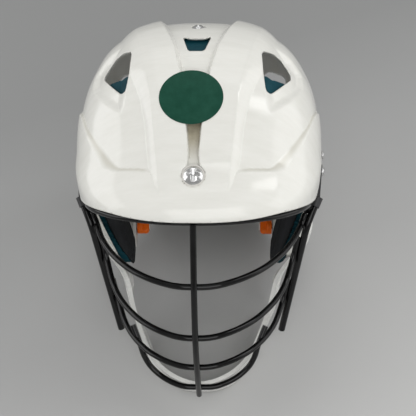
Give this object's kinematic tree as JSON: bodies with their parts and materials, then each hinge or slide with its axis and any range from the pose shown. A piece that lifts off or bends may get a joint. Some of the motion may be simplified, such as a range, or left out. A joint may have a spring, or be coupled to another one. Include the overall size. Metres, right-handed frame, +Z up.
{
  "type": "lacrosse helmet",
  "caption": "Lacrosse helmet: vented hard shell with raised band, wire face mask, chin guard, cushioned liner, jaw pads, and a sliding rear cradle with turning lock knobs.",
  "frame": {"origin": "centre of the bounding box in plan, on the table that the helmet rests on", "axes": "+Z up, -Y towards the face opening, +X to the viewer's right when looking at the face"},
  "size_m": [0.2268, 0.301, 0.2894],
  "materials": {
    "white_shell": "glossy",
    "white_nylon": "satin",
    "painted_wire": "glossy",
    "steel": "satin",
    "dark_plastic": "matte",
    "teal_cushion": "matte",
    "dark_foam": "matte",
    "orange_plastic": "satin",
    "label": "glossy"
  },
  "bodies": {
    "helmet": {"brow_bar": "painted_wire", "brow_nut": "steel", "brow_tab": "painted_wire", "centre_bar": "painted_wire", "chin_bar": "painted_wire", "chin_guard": "white_shell", "clip_nuts": "steel", "clip_screws": "steel", "comfort_crown": "dark_foam", "comfort_front": "dark_foam", "comfort_rear": "dark_foam", "comfort_side_left": "dark_foam", "comfort_side_right": "dark_foam", "comfort_temple_left": "dark_foam", "comfort_temple_right": "dark_foam", "cradle_pin_left": "white_nylon", "cradle_pin_right": "white_nylon", "eye_bar": "painted_wire", "front_screw": "steel", "front_washer": "steel", "guard_nuts": "steel", "guard_screws": "steel", "jaw_backing_left": "teal_cushion", "jaw_backing_right": "teal_cushion", "jaw_pad_left": "dark_foam", "jaw_pad_right": "dark_foam", "liner_crown": "teal_cushion", "liner_front": "teal_cushion", "liner_rear": "teal_cushion", "liner_side_left": "teal_cushion", "liner_side_right": "teal_cushion", "liner_temple_left": "teal_cushion", "liner_temple_right": "teal_cushion", "mouth_bar": "painted_wire", "nose_bar": "painted_wire", "shell": "white_shell", "side_bar_left": "painted_wire", "side_bar_right": "painted_wire", "side_clip_left": "dark_plastic", "side_clip_right": "dark_plastic", "size_label": "label", "snap_studs": "steel", "top_nut": "steel", "top_screw": "steel"},
    "cradle": {"rear_cradle": "white_nylon", "cradle_pad": "dark_foam"},
    "knob_left": {"lock_knob_left": "orange_plastic"},
    "knob_right": {"lock_knob_right": "orange_plastic"}
  },
  "joints": [
    {"name": "cradle_slide", "type": "slide", "parent": "helmet", "child": "cradle", "axis": [0, -1, 0], "range_m": [0, 0.012]},
    {"name": "knob_left_turn", "type": "hinge", "parent": "helmet", "child": "knob_left", "pos_m": [-0.0645, 0.05106, 0.041], "axis": [-1, 0, 0], "range_deg": [0, 90]},
    {"name": "knob_right_turn", "type": "hinge", "parent": "helmet", "child": "knob_right", "pos_m": [0.0645, 0.05106, 0.041], "axis": [1, 0, 0], "range_deg": [0, 90]}
  ]
}
